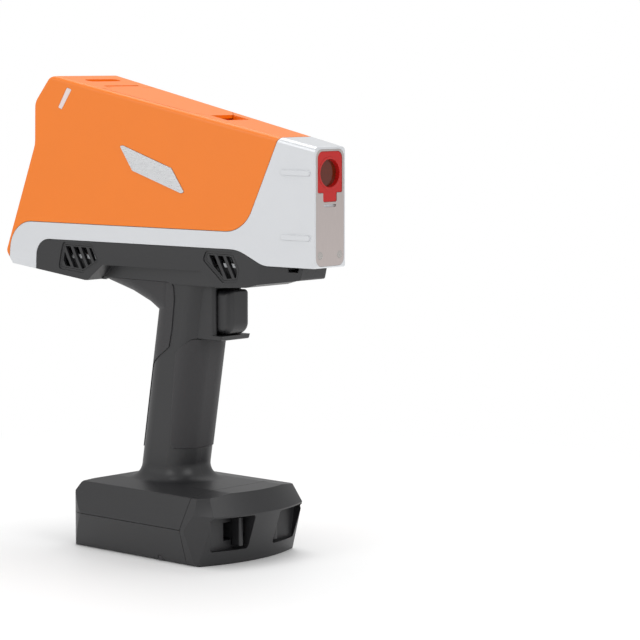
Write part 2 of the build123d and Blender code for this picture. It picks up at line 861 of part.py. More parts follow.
# ---------------------------------------------------------------- foot form
def foot_station(z, front_x, corner_y):
    """Plan of the foot at one level: square sides, rounded rear corners and a bowed front."""
    with BuildSketch(Plane.XY.offset(z)) as plan:
        with BuildLine():
            Polyline(
                (front_x - foot_bow, corner_y),
                (foot_side_end_x, foot_half_width),
                (foot_rear_x, foot_half_width),
                (foot_rear_x, -foot_half_width),
                (foot_side_end_x, -foot_half_width),
                (front_x - foot_bow, -corner_y),
            )
            ThreePointArc((front_x - foot_bow, -corner_y), (front_x, 0), (front_x - foot_bow, corner_y))
        make_face()
        fillet(plan.vertices().group_by(Axis.X)[0], foot_rear_corner_radius)
    return plan.sketch


with BuildPart() as foot_form:
    for z_low, x_low, y_low, z_high, x_high, y_high in (
        (0, foot_sole_front_x, 41.0, foot_lip_z, foot_lip_front_x, 38.5),
        (foot_lip_z, foot_lip_front_x, 38.5, foot_height + 1.0, foot_crown_front_x - 1.0, 35.5),
    ):
        loft([foot_station(z_low, x_low, y_low), foot_station(z_high, x_high, y_high)], ruled=True)
    with BuildSketch(Plane.YZ.offset(-2 * far)):
        with BuildLine():
            FilletPolyline(
                (-foot_sole_half_width, 0),
                (-foot_half_width, foot_seam_z),
                (-foot_ridge_half_width, foot_ridge_z),
                (-foot_crown_half_width, foot_height),
                (foot_crown_half_width, foot_height),
                (foot_ridge_half_width, foot_ridge_z),
                (foot_half_width, foot_seam_z),
                (foot_sole_half_width, 0),
                radius=[2.5, 14, 1.5, 12, 12, 1.5, 14, 2.5],
                close=True,
            )
        make_face()
    extrude(amount=4 * far, mode=Mode.INTERSECT)
    add(
        side_prism(
            [
                (foot_rear_x + 3.0, 0),
                (foot_rear_x, 9.0),
                (foot_rear_x, foot_seam_z + 3.0),
                (foot_rear_x + 13.0, foot_ridge_z + 0.5),
                (foot_rear_x + 22.0, foot_height),
                (foot_lip_front_x + far, foot_height),
                (foot_lip_front_x + far, 0),
            ],
            [4, 8, 12, 8, 5, 0, 0],
        ),
        mode=Mode.INTERSECT,
    )

bay_low_z = case_low_z - bay_clearance
bay_high_z = case_high_z + bay_clearance
bay_half_width = case_half_width + bay_clearance
with BuildPart() as battery_bay:
    add(
        side_prism(
            [
                (case_rear_x - terminal_thickness - bay_clearance, bay_low_z),
                (foot_lip_front_x, bay_low_z),
                (foot_lip_front_x, bay_high_z),
                (case_rear_x - terminal_thickness - bay_clearance, bay_high_z),
            ],
            0,
            0,
            bay_half_width,
        )
    )

# seams of the foot in side view: the bent line of the battery cap and the level line of the base
cap_seam = [(cap_seam_low_x, -1.0), (cap_seam_mid_x, foot_seam_z), (cap_seam_high_x, foot_height + 1.0)]
cap_region = side_prism([*cap_seam, (2 * far, foot_height + 1.0), (2 * far, -1.0)], 0, -seam_gap / 2)
ahead_of_seam = side_prism([*cap_seam, (2 * far, foot_height + 1.0), (2 * far, -1.0)], 0, seam_gap / 2)
base_region = side_prism(
    [(-2 * far, -1.0), (2 * far, -1.0), (2 * far, foot_seam_z), (-2 * far, foot_seam_z)], 0, -seam_gap / 2
)
top_region = side_prism(
    [(-2 * far, foot_seam_z), (2 * far, foot_seam_z), (2 * far, 3 * far), (-2 * far, 3 * far)], 0, -seam_gap / 2
)

# ---------------------------------------------------------------- grip shells


def waist_half_width(x):
    """Half width of the head at its waist."""
    return tail_half_width + (x - tail_x) / (nose_x - tail_x) * (nose_half_width - tail_half_width)


flank_slope = (flank_top_z - flank_foot_z) / (waist_half_width(0) - 6.0 - flank_foot_half_width)
with BuildPart() as flanks:
    for side in (-1, 1):
        with BuildSketch(Plane.YZ.offset(-far)):
            with BuildLine():
                Polyline(
                    (side * flank_foot_half_width, flank_foot_z),
                    (side * far, flank_foot_z + flank_slope * (far - flank_foot_half_width)),
                    (side * far, flank_foot_z - 10.0),
                    (side * flank_foot_half_width, flank_foot_z - 10.0),
                    close=True,
                )
            make_face()
    extrude(amount=2 * far)
    add(
        side_prism(
            [
                (flank_rear_top_x, flank_top_z),
                (flank_front_top_x, flank_top_z),
                (front_belly_x - 1.0, front_belly_z - 1.0),
                (front_belly_x - 1.0, front_belly_z - 9.0),
                (rear_belly_x + 1.0, rear_belly_z - 9.0),
                (rear_belly_x + 1.0, rear_belly_z - 1.0),
            ]
        ),
        mode=Mode.INTERSECT,
    )

with BuildPart() as chin_sides:
    for side in (-1, 1):
        with BuildSketch(Plane.XY.offset(section_low_z)):
            with BuildLine():
                Polyline(
                    (chin_crease_x, side * waist_half_width(chin_crease_x)),
                    (chin_x + 1.0, side * chin_half_width),
                    (chin_x + 1.0, side * far),
                    (chin_crease_x, side * far),
                    close=True,
                )
            make_face()
    extrude(amount=waist_z - section_low_z)

with BuildPart() as trigger_boss:
    add(
        side_prism(
            [
                (8.0, flank_foot_z + 2.0),
                (boss_front_x, flank_foot_z + 2.0),
                (boss_front_x, trigger_low_z - trigger_clearance),
                (boss_lip_x, trigger_low_z - trigger_clearance),
                (boss_lip_x - 1.0, boss_low_z),
                (14.0, boss_low_z),
                (8.0, boss_low_z + 6.0),
            ],
            [0, 0, 0, 0, 1, 0, 0],
            0,
            boss_half_width,
        )
    )
    lower = trigger_boss.edges().filter_by(lambda e: abs(e.center().Y) > boss_half_width - 0.1)
    fillet(lower.filter_by(lambda e: e.center().Z < boss_low_z + 1.0), 0.9)
    upright = trigger_boss.edges().filter_by(Axis.Z).filter_by(lambda e: abs(e.center().X - boss_front_x) < 0.1)
    fillet(upright, boss_edge_radius - 0.5)

with BuildPart() as trigger_pocket:
    add(
        side_prism(
            [
                (trigger_rear_x - trigger_travel - trigger_clearance, trigger_low_z - trigger_clearance),
                (2 * far, trigger_low_z - trigger_clearance),
                (2 * far, trigger_high_z + trigger_clearance),
                (trigger_rear_x - trigger_travel - trigger_clearance, trigger_high_z + trigger_clearance),
            ],
            0,
            0,
            trigger_half_width + trigger_clearance,
        )
    )

front_insert_region = [
    (60.0, boss_low_z - 0.3),
    (22.0, boss_low_z - 0.3),
    (10.6, 122.9),
    (7.3, 93.3),
    (5.3, 63.5),
    (60.0, 64.2),
]
front_insert_radii = [0, 6, 6, 20, 3, 0]
rear_insert_region = [
    (rear_belly_x + 5.0, flank_foot_z + 0.1),
    (8.6, flank_foot_z + 0.1),
    (9.4, 154.5),
    (7.0, 136.0),
    (4.5, 125.5),
    (-12.6, 113.5),
    (-22.0, 62.0),
    (-60.0, 62.0),
    (-60.0, 150.0),
]
rear_insert_radii = [0, 4, 10, 20, 2, 6, 0, 0, 0]


def insert_band(points, radii, outer, grow):
    """Layer of the handle's skin inside a side-view outline, from outer down to the insert's depth."""
    body = grip_form(outer)
    core = grip_form(insert_depth)
    region = side_prism(points, radii, grow)
    with BuildPart() as layer:
        add(body)
        add(core, mode=Mode.SUBTRACT)
        add(region, mode=Mode.INTERSECT)
    return layer.part


with BuildPart() as handle_hollow:
    for z in (bay_high_z - 1.0, cavity_floor_z + 4.0):
        with BuildSketch(Plane.XY.offset(z)):
            with Locations((handle_x(z), 0)):
                RectangleRounded(
                    handle_length - 2 * handle_wall, handle_width - 2 * handle_wall, handle_corner_radius - handle_wall
                )
    loft(ruled=True)

shell_screw_radius = 1.5
shell_head_radius = 2.6
shell_head_height = 2.4
shell_screw_depth = -8.0
shell_screws_at = [(-88.0, 171.6, 24.0), (-22.0, 169.6, 15.0), (30.0, 169.6, 14.0), (72.0, 172.0, 9.0)]
sole_screws_at = [(-54.5, -22.0), (-54.5, 22.0), (22.0, -40.2), (22.0, 40.2)]
sole_head_low_z = 0.8
sole_screw_top_z = 30.0
latch_space_rear_x = 32.6
latch_space_low_z = 12.0
latch_space_high_z = 20.0
latch_space_half_width = 40.6

with BuildPart() as shell_screws:
    for x, z, seat_y in shell_screws_at:
        with BuildSketch(Plane.XZ.offset(-shell_screw_depth)):
            with Locations((x, z)):
                Circle(shell_screw_radius)
        extrude(amount=-(seat_y - shell_screw_depth))
        with BuildSketch(Plane.XZ.offset(-seat_y)):
            with Locations((x, z)):
                Circle(shell_head_radius)
        extrude(amount=-shell_head_height)
write(shell_screws, "shell_screws")

with BuildPart() as shell_screw_holes:
    for x, z, seat_y in shell_screws_at:
        with BuildSketch(Plane.XZ.offset(-shell_screw_depth + 0.5)):
            with Locations((x, z)):
                Circle(shell_screw_radius + screw_slack)
        extrude(amount=-(seat_y - shell_screw_depth + 0.5))
        with BuildSketch(Plane.XZ.offset(-seat_y)):
            with Locations((x, z)):
                Circle(shell_head_radius + 0.2)
        extrude(amount=-far)

with BuildPart() as sole_screws:
    for x, y in sole_screws_at:
        with BuildSketch(Plane.XY.offset(sole_head_low_z)):
            with Locations((x, y)):
                Circle(shell_head_radius)
        extrude(amount=shell_head_height)
        with BuildSketch(Plane.XY.offset(sole_head_low_z)):
            with Locations((x, y)):
                Circle(shell_screw_radius)
        extrude(amount=sole_screw_top_z - sole_head_low_z)
write(sole_screws, "sole_screws")

with BuildPart() as sole_screw_holes:
    for x, y in sole_screws_at:
        with BuildSketch(Plane.XY.offset(-1.0)):
            with Locations((x, y)):
                Circle(shell_head_radius + 0.2)
        extrude(amount=1.0 + sole_head_low_z + shell_head_height)
        with BuildSketch(Plane.XY):
            with Locations((x, y)):
                Circle(shell_screw_radius + screw_slack)
        extrude(amount=sole_screw_top_z + 0.5)

with BuildPart() as latch_space:
    add(
        side_prism(
            [
                (latch_space_rear_x, latch_space_low_z),
                (2 * far, latch_space_low_z),
                (2 * far, latch_space_high_z),
                (latch_space_rear_x, latch_space_high_z),
            ],
            0,
            0,
            latch_space_half_width,
        )
    )

front_pocket = insert_band(front_insert_region, front_insert_radii, -3.0, insert_gap)
rear_pocket = insert_band(rear_insert_region, rear_insert_radii, -3.0, insert_gap)

with BuildPart() as grip_body:
    add(foot_form.part)
    add(grip_form(0))
    add(top_region, mode=Mode.INTERSECT)
    neck = grip_body.edges().filter_by(lambda e: abs(e.center().Z - foot_height) < 0.8)
    neck = neck.filter_by(lambda e: abs(e.center().Y) < handle_width / 2 + 1.0)
    neck = neck.filter_by(lambda e: abs(e.center().X - handle_foot_x) < handle_length / 2 + 1.0)
    fillet(neck, handle_flare_radius)
    add(ahead_of_seam, mode=Mode.SUBTRACT)

with BuildPart() as band_body:
    add(head_form.part)
    add(shell_region, mode=Mode.INTERSECT)
    add(flanks.part, mode=Mode.SUBTRACT)
    add(chin_sides.part, mode=Mode.SUBTRACT)
    for points in vent_frames.values():
        add(skin(-1.0, vent_recess, side_prism(points, 1.0, 1.5)), mode=Mode.SUBTRACT)
        add(skin(-1.0, vent_depth, side_prism(points, 0.8)), mode=Mode.SUBTRACT)

with BuildPart() as both_shells:
    add(grip_body.part)
    add(band_body.part)
    add(trigger_boss.part)
    for cutter in (
        head_cavity.part,
        handle_hollow.part,
        battery_bay.part,
        trigger_pocket.part,
        front_pocket,
        rear_pocket,
        sole_screw_holes.part,
        shell_screw_holes.part,
    ):
        add(cutter, mode=Mode.SUBTRACT)

for side, hand in ((-1, "right"), (1, "left")):
    with BuildPart() as grip_shell:
        add(one_side(both_shells.part, side))
    write(grip_shell, f"grip_shell_{hand}")

for place, points in vent_frames.items():
    with BuildPart() as vent_grille:
        add(skin(vent_recess, vent_recess + vent_thickness, side_prism(points, 0.8, -vent_gap)))
        add(vent_slots(points), mode=Mode.SUBTRACT)
    write_pair(one_side(vent_grille.part, -1), f"vent_grille_{place}")

with BuildPart() as front_grip_insert:
    add(insert_band(front_insert_region, front_insert_radii, -insert_proud, 0))
write(front_grip_insert, "front_grip_insert")

with BuildPart() as rear_grip_insert:
    add(insert_band(rear_insert_region, rear_insert_radii, -insert_proud, 0))
write(rear_grip_insert, "rear_grip_insert")

with BuildPart() as foot_base:
    add(foot_form.part)
    add(base_region, mode=Mode.INTERSECT)
    add(ahead_of_seam, mode=Mode.SUBTRACT)
    add(battery_bay.part, mode=Mode.SUBTRACT)
    add(latch_space.part, mode=Mode.SUBTRACT)
    add(sole_screw_holes.part, mode=Mode.SUBTRACT)
write(foot_base, "foot_base")

# ---------------------------------------------------------------- battery pack
tongue_thickness = 2.0
tongue_half_width = 28.0
with BuildPart() as battery_case:
    add(
        side_prism(
            [
                (case_rear_x, case_low_z),
                (case_front_x, case_low_z),
                (case_front_x, case_high_z),
                (case_rear_x, case_high_z),
            ],
            3.0,
            0,
            case_half_width,
        )
    )
    fillet(battery_case.edges().filter_by(Axis.X), 2.5)
    # tongues that carry the cap, trimmed to its bent seam
    for low in (case_low_z, case_high_z - tongue_thickness):
        add(
            box_on(
                Plane.XY,
                (case_front_x - 6.0, -tongue_half_width, low),
                (foot_lip_front_x, tongue_half_width, low + tongue_thickness),
            )
        )
    add(ahead_of_seam, mode=Mode.SUBTRACT)
write(battery_case, "battery_case")

contact_width = 3.0
contact_pitch = 4.6
contact_count = 5
contact_proud = 0.2
with BuildPart() as battery_contacts:
    with BuildSketch(Plane.YZ.offset(case_rear_x - contact_proud)):
        with Locations((0, (case_low_z + case_high_z) / 2)):
            with GridLocations(contact_pitch, 0, contact_count, 1):
                RectangleRounded(contact_width, 12.0, 0.6)
    extrude(amount=contact_proud)
write(battery_contacts, "battery_contacts")

terminal_rear_x = case_rear_x - terminal_thickness - bay_clearance
with BuildPart() as battery_terminal_block:
    add(
        box_on(
            Plane.XY,
            (terminal_rear_x, -terminal_half_width, bay_low_z),
            (terminal_rear_x + terminal_thickness, terminal_half_width, case_high_z - 5.0),
        )
    )
    fillet(battery_terminal_block.edges().filter_by(Axis.X), 1.0)
write(battery_terminal_block, "battery_terminal_block")


def recess_outline(side, grow=0.0):
    """Finger recess in the front of the battery cap, on one side of its grip post."""
    points = [
        (side * recess_inner_y, recess_low_z),
        (side * recess_outer_low_y, recess_low_z),
        (side * recess_outer_high_y, recess_high_z),
        (side * recess_inner_y, recess_high_z),
    ]
    return points if side > 0 else points[::-1]


cap_hollow_front_x = recess_back_x - cap_web
latch_inner_clear = latch_inner_y - latch_travel - latch_clearance / 2
stem_low_z = 14.0
stem_high_z = 24.0
with BuildPart() as battery_cap:
    add(foot_form.part)
    add(cap_region, mode=Mode.INTERSECT)
    for side in (-1, 1):
        add(on_nose(recess_outline(side), 2.0, recess_back_x, 2 * far), mode=Mode.SUBTRACT)
        with BuildSketch(Plane.YZ.offset(cap_hollow_front_x - 1.0)):
            with Locations((side * (latch_inner_clear + 8.4) / 1.0 - side * 2.0, (stem_low_z + stem_high_z) / 2)):
                Rectangle(2 * (latch_inner_y + latch_bar_width - latch_inner_clear), stem_high_z - stem_low_z + 0.8)
        extrude(amount=cap_web + 2.0, mode=Mode.SUBTRACT)
    add(
        box_on(
            Plane.XY,
            (0, -latch_nose_y, case_low_z + tongue_thickness + 0.4),
            (cap_hollow_front_x, latch_nose_y, case_high_z - tongue_thickness - 0.4),
        ),
        mode=Mode.SUBTRACT,
    )
write(battery_cap, "battery_cap")

nose_reach_y = latch_space_half_width - 0.8
for side, hand in ((-1, "right"), (1, "left")):
    with BuildPart() as battery_latch:
        for low, high in (
            ((recess_back_x + 1.0, latch_inner_y, recess_low_z + 2.0), (latch_bar_front_x, latch_inner_y + latch_bar_width, recess_high_z - 2.0)),
            ((case_front_x + 14.0, latch_inner_y + 0.4, stem_low_z), (recess_back_x + 2.0, latch_inner_y + latch_bar_width - 0.4, stem_high_z)),
            ((case_front_x + 12.0, latch_inner_y + 0.4, stem_low_z), (case_front_x + 16.0, 32.0, latch_space_high_z - 1.5)),
            ((case_front_x + 2.0, 28.5, stem_low_z), (case_front_x + 16.0, 32.0, latch_space_high_z - 1.5)),
            ((case_front_x + 2.0, 28.5, stem_low_z), (case_front_x + 6.0, nose_reach_y, latch_space_high_z - 1.5)),
        ):
            y_low, y_high = sorted((side * low[1], side * high[1]))
            add(box_on(Plane.XY, (low[0], y_low, low[2]), (high[0], y_high, high[2])))
        grip_edges = battery_latch.edges().filter_by(Axis.Z).group_by(Axis.X)[-1]
        fillet(grip_edges, 1.2)
    write(battery_latch, f"battery_latch_{hand}")

# ---------------------------------------------------------------- trigger
with BuildPart() as trigger:
    add(
        side_prism(
            [
                (trigger_rear_x, trigger_low_z),
                (trigger_front_x, trigger_low_z),
                (trigger_front_x, trigger_high_z),
                (trigger_rear_x, trigger_high_z),
            ],
            [0, 7, 1.5, 0],
            0,
            trigger_half_width,
        )
    )
    front_edges = trigger.edges().filter_by(lambda e: abs(e.center().Y) > trigger_half_width - 0.1)
    fillet(front_edges.filter_by(lambda e: e.center().X > trigger_front_x - 4.0), 4.5)
    spring_seat_x = trigger_rear_x + 6.0
    with BuildSketch(Plane.YZ.offset(trigger_rear_x - 1.0)):
        with Locations((0, (trigger_low_z + trigger_high_z) / 2)):
            Circle(spring_coil_radius + spring_wire_radius + 0.4)
    extrude(amount=spring_seat_x - trigger_rear_x + 1.0, mode=Mode.SUBTRACT)
write(trigger, "trigger")

switch_z = (trigger_low_z + trigger_high_z) / 2
pocket_rear_x = trigger_rear_x - trigger_travel - trigger_clearance
with BuildPart() as trigger_switch:
    with BuildSketch(Plane.YZ.offset(pocket_rear_x - switch_length)):
        with Locations((0, switch_z)):
            RectangleRounded(13.0, 9.0, 0.8)
    extrude(amount=switch_length - 0.1)
write(trigger_switch, "trigger_switch")

spring_length = spring_seat_x - pocket_rear_x - 2 * spring_wire_radius - 0.3
with BuildPart() as trigger_spring:
    with BuildLine() as coil:
        Helix(
            pitch=spring_length / spring_turns,
            height=spring_length,
            radius=spring_coil_radius,
            center=(pocket_rear_x + spring_wire_radius + 0.1, 0, switch_z),
            direction=(1, 0, 0),
        )
    with BuildSketch(Plane(origin=coil.line @ 0, z_dir=coil.line % 0)):
        Circle(spring_wire_radius)
    sweep()
write(trigger_spring, "trigger_spring")

# ---------------------------------------------------------------- inside of the head
chassis_thickness = 2.5
chassis_gap = 0.3
chassis_low_z = cavity_floor_z + chassis_gap
chassis_top_z = chassis_low_z + chassis_thickness
chassis_rear_x = -84.0
chassis_front_x = 88.0
chassis_side_gap = 3.4
with BuildPart() as chassis:
    with BuildSketch(Plane.XY.offset(chassis_low_z)):
        with BuildLine():
            rear_y = waist_half_width(chassis_rear_x) - head_wall - chassis_side_gap
            front_y = waist_half_width(chassis_front_x) - head_wall - chassis_side_gap
            Polyline(
                (chassis_rear_x, -rear_y),
                (chassis_front_x, -front_y),
                (chassis_front_x, front_y),
                (chassis_rear_x, rear_y),
                close=True,
            )
        make_face()
    extrude(amount=chassis_thickness)
write(chassis, "chassis")

supply_rear_x = -44.0
supply_front_x = 22.0
supply_half_width = 13.0
supply_high_z = 208.0
with BuildPart() as high_voltage_supply:
    add(
        box_on(
            Plane.XY,
            (supply_rear_x, -supply_half_width, chassis_top_z),
            (supply_front_x, supply_half_width, supply_high_z),
        )
    )
    fillet(high_voltage_supply.edges().filter_by(Axis.Z), 2.0)
write(high_voltage_supply, "high_voltage_supply")

board_y = supply_half_width + 0.1
with BuildPart() as main_board:
    add(box_on(Plane.XY, (-76.0, board_y, chassis_top_z + 0.1), (10.0, board_y + board_thickness, 240.0)))
write(main_board, "main_board")

fin_count = 7
fin_pitch = 4.0
fin_thickness = 1.4
with BuildPart() as heat_sink:
    add(box_on(Plane.XY, (-78.0, -16.0, chassis_top_z), (-48.0, 12.0, chassis_top_z + 3.0)))
    with BuildSketch(Plane.XY.offset(chassis_top_z + 3.0)):
        with Locations((-63.0, -2.0)):
            with GridLocations(0, fin_pitch, 1, fin_count):
                Rectangle(30.0, fin_thickness)
    extrude(amount=22.0)
write(heat_sink, "heat_sink")

block_rear_x = 86.0
block_half_width = 9.0
block_low_z = 196.0
block_high_z = 246.0
tube_radius = 8.5
tube_rear_x = 30.0
tube_z = 220.0
detector_radius = 5.5
detector_rear_x = 66.0
detector_z = 238.5
with BuildPart() as measurement_block:
    add(
        box_on(
            Plane.XY,
            (block_rear_x, -block_half_width, block_low_z),
            (cavity_front_x - 0.1, block_half_width, block_high_z),
        )
    )
    with BuildSketch(Plane.YZ.offset(block_rear_x + 12.0)):
        with Locations((0, aperture_z)):
            Circle(aperture_radius - 1.0)
    extrude(amount=far, mode=Mode.SUBTRACT)
    fillet(measurement_block.edges().filter_by(Axis.X).filter_by(lambda e: e.length > 25), 2.0)
write(measurement_block, "measurement_block")

with BuildPart() as x_ray_tube:
    with BuildSketch(Plane.YZ.offset(tube_rear_x)):
        with Locations((0, tube_z)):
            Circle(tube_radius)
    extrude(amount=block_rear_x - tube_rear_x - 0.1)
    chamfer(x_ray_tube.faces().sort_by(Axis.X)[0].edges(), 1.0)
write(x_ray_tube, "x_ray_tube")

with BuildPart() as detector:
    with BuildSketch(Plane.YZ.offset(detector_rear_x)):
        with Locations((0, detector_z)):
            Circle(detector_radius)
    extrude(amount=block_rear_x - detector_rear_x - 0.1)
write(detector, "detector")

cradle_x = (40.0, 70.0)
with BuildPart() as tube_cradle:
    for x in cradle_x:
        add(box_on(Plane.XY, (x, -8.0, chassis_top_z), (x + 5.0, 8.0, tube_z)))
    with BuildSketch(Plane.YZ.offset(tube_rear_x)):
        with Locations((0, tube_z)):
            Circle(tube_radius + 0.15)
    extrude(amount=far, mode=Mode.SUBTRACT)
write(tube_cradle, "tube_cradle")
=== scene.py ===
"""Looks of a handheld X-ray fluorescence analyzer, built around its CAD frame."""
import math

import bpy
import numpy as np
from bpy.props import FloatProperty, FloatVectorProperty, PointerProperty
from bpy.types import Operator, Panel, PropertyGroup
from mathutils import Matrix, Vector

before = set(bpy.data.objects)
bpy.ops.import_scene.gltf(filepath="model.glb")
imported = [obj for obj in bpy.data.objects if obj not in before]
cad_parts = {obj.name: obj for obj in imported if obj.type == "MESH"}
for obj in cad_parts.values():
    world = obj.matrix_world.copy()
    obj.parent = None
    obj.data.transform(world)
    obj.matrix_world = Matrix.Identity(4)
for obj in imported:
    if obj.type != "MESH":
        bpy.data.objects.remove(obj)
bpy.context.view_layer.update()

bl_info = {
    "name": "Handheld XRF Analyzer Looks",
    "version": (1, 0, 0),
    "blender": (4, 5, 0),
    "location": "3D View > Sidebar > Analyzer",
    "description": "Finishes and small fittings of a pistol-grip X-ray fluorescence analyzer",
    "category": "Object",
}

MM = 0.001


def linear(hex_colour):
    """Linear RGBA of an sRGB hex colour."""
    parts = [int(hex_colour[i : i + 2], 16) / 255 for i in (1, 3, 5)]
    return tuple([c / 12.92 if c <= 0.04045 else ((c + 0.055) / 1.055) ** 2.4 for c in parts] + [1.0])


# ---------------------------------------------------------------- properties


def colour_property(name, description, hex_colour):
    """A colour that can be set, with its default given as an sRGB hex colour."""
    return FloatVectorProperty(
        name=name,
        description=description,
        default=linear(hex_colour),
        size=4,
        min=0.0,
        max=1.0,
        subtype="COLOR",
    )


class AnalyzerColours(PropertyGroup):
    orange: colour_property("Orange cover", "Moulded-in colour of the head's cover and port door", "#EF7A00")
    silver: colour_property("Silver lacquer", "Lacquer on the nose housing and side band", "#D6D8DB")
    black: colour_property("Black moulding", "Colour of the handle and foot shells", "#1E1E20")
    rubber: colour_property("Grip rubber", "Colour of the soft inserts of the handle", "#2B2A2C")
    carrier: colour_property("Window carrier", "Red of the measuring window's carrier", "#B30A06")


class AnalyzerStage(PropertyGroup):
    world_strength: FloatProperty(
        name="Room light",
        description="Strength of the even light of the white room",
        default=0.62,
        min=0.0,
        max=2.0,
    )
    key_power: FloatProperty(
        name="Key light",
        description="Power of the large soft light overhead",
        default=9.0,
        unit="POWER",
    )
    fill_power: FloatProperty(
        name="Fill lights",
        description="Power of each of the two soft lights at the nose and the right side",
        default=5.0,
        unit="POWER",
    )
    camera_place: FloatVectorProperty(
        name="Camera place",
        description="Where the camera stands",
        default=(1.1188, -1.1048, 0.30157),
        subtype="TRANSLATION",
        unit="LENGTH",
    )
    camera_azimuth: FloatProperty(
        name="Camera azimuth",
        description="Turn of the view about the upright",
        default=math.radians(42.31),
        subtype="ANGLE",
    )
    camera_dip: FloatProperty(
        name="Camera dip",
        description="How far the view looks down",
        default=math.radians(5.86),
        subtype="ANGLE",
    )
    lens: FloatProperty(
        name="Lens",
        description="Focal length in millimetres",
        default=144.96,
        min=10.0,
        max=400.0,
    )


# ---------------------------------------------------------------- material helpers


def add_node(tree, kind, inputs=None, **settings):
    """Add a shader node with its settings; socket inputs are values, or output sockets to link."""
    node = tree.nodes.new(kind)
    for key, value in settings.items():
        setattr(node, key, value)
    for socket, value in (inputs or {}).items():
        if isinstance(value, bpy.types.NodeSocket):
            tree.links.new(value, node.inputs[socket])
        else:
            node.inputs[socket].default_value = value
    return node


def new_material(name):
    """A material with only its Principled shader and output; gives the material, its tree and the shader."""
    material = bpy.data.materials.new(name)
    material.use_nodes = True
    tree = material.node_tree
    tree.nodes.clear()
    shader = add_node(tree, "ShaderNodeBsdfPrincipled")
    add_node(tree, "ShaderNodeOutputMaterial", {"Surface": shader.outputs["BSDF"]})
    return material, tree, shader


def shade(colour, factor):
    """A linear colour made lighter or darker by a factor."""
    return tuple([min(c * factor, 1.0) for c in colour[:3]] + [1.0])


def drive_surface(tree, shader, base, grain_mm, relief_mm, rough, rough_spread, tone=0.06, edge_mm=0.35):
    """Fine moulded grain as bump and in roughness, slow patches in tone, and slightly rounded edges.

    grain_mm is the size of one grain, relief_mm its depth; tone is the share by which the colour drifts.
    """
    place = add_node(tree, "ShaderNodeTexCoord").outputs["Object"]
    patches = add_node(tree, "ShaderNodeTexNoise", {"Vector": place, "Scale": 1 / (24 * MM), "Detail": 3.0})
    drift = add_node(
        tree,
        "ShaderNodeMix",
        {"Factor": patches.outputs["Fac"], "A": shade(base, 1 - tone), "B": shade(base, 1 + tone)},
        data_type="RGBA",
    )
    tree.links.new(drift.outputs[2], shader.inputs["Base Color"])
    grain = add_node(
        tree,
        "ShaderNodeTexNoise",
        {"Vector": place, "Scale": 1 / (grain_mm * MM), "Detail": 2.0},
    )
    polish = add_node(
        tree,
        "ShaderNodeMapRange",
        {"Value": grain.outputs["Fac"], "To Min": rough - rough_spread, "To Max": rough + rough_spread},
    )
    tree.links.new(polish.outputs["Result"], shader.inputs["Roughness"])
    edge = add_node(tree, "ShaderNodeBevel", {"Radius": edge_mm * MM}, samples=4)
    relief = add_node(
        tree,
        "ShaderNodeBump",
        {
            "Height": grain.outputs["Fac"],
            "Distance": relief_mm * MM,
            "Strength": 1.0,
            "Normal": edge.outputs["Normal"],
        },
    )
    tree.links.new(relief.outputs["Normal"], shader.inputs["Normal"])


def spark_textured_plastic(name, base, rough=0.42, grain_mm=0.5, relief_mm=0.012, tone=0.03, specular=0.5):
    """ABS-polycarbonate out of a spark-eroded mould: an even satin with a very fine pebble."""
    material, tree, shader = new_material(name)
    drive_surface(tree, shader, base, grain_mm, relief_mm, rough, 0.05, tone)
    shader.inputs["IOR"].default_value = 1.55
    shader.inputs["Specular IOR Level"].default_value = specular
    return material


def silver_lacquered_plastic(name, base):
    """Aluminium-flake lacquer on plastic: brighter where it faces the light, with a faint sparkle."""
    material, tree, shader = new_material(name)
    # flakes are 0.05 mm in the real lacquer, drawn at 0.4 mm so that they show
    drive_surface(tree, shader, base, 0.4, 0.004, 0.34, 0.05, 0.02, 0.4)
    shader.inputs["Metallic"].default_value = 0.35
    shader.inputs["IOR"].default_value = 1.5
    shader.inputs["Coat Weight"].default_value = 0.25
    shader.inputs["Coat Roughness"].default_value = 0.2
    return material


def soft_rubber(name, base, grain_mm=0.6, relief_mm=0.03):
    """Thermoplastic elastomer: matt, slightly dusty at grazing angles."""
    material, tree, shader = new_material(name)
    drive_surface(tree, shader, base, grain_mm, relief_mm, 0.66, 0.08, 0.05, 0.5)
    shader.inputs["IOR"].default_value = 1.5
    shader.inputs["Sheen Weight"].default_value = 0.15
    shader.inputs["Sheen Roughness"].default_value = 0.5
    return material


def brushed_metal(name, hex_colour, stroke=(0.3, 12.0, 0.3), rough=0.3, metallic=1.0, relief_mm=0.006):
    """Metal with fine parallel brush strokes; stroke is their size in millimetres along X, Y and Z."""
    material, tree, shader = new_material(name)
    place = add_node(tree, "ShaderNodeTexCoord").outputs["Object"]
    lay = add_node(
        tree, "ShaderNodeMapping", {"Vector": place, "Scale": tuple(1 / (size * MM) for size in stroke)}
    )
    strokes = add_node(
        tree,
        "ShaderNodeTexNoise",
        {"Vector": lay.outputs["Vector"], "Scale": 1.0, "Detail": 4.0},
    )
    base = linear(hex_colour)
    tint = add_node(
        tree,
        "ShaderNodeMix",
        {"Factor": strokes.outputs["Fac"], "A": shade(base, 0.88), "B": shade(base, 1.08)},
        data_type="RGBA",
    )
    tree.links.new(tint.outputs[2], shader.inputs["Base Color"])
    polish = add_node(
        tree,
        "ShaderNodeMapRange",
        {"Value": strokes.outputs["Fac"], "To Min": rough - 0.08, "To Max": rough + 0.1},
    )
    tree.links.new(polish.outputs["Result"], shader.inputs["Roughness"])
    edge = add_node(tree, "ShaderNodeBevel", {"Radius": 0.25 * MM}, samples=4)
    relief = add_node(
        tree,
        "ShaderNodeBump",
        {"Height": strokes.outputs["Fac"], "Distance": relief_mm * MM, "Normal": edge.outputs["Normal"]},
    )
    tree.links.new(relief.outputs["Normal"], shader.inputs["Normal"])
    shader.inputs["Metallic"].default_value = metallic
    return material


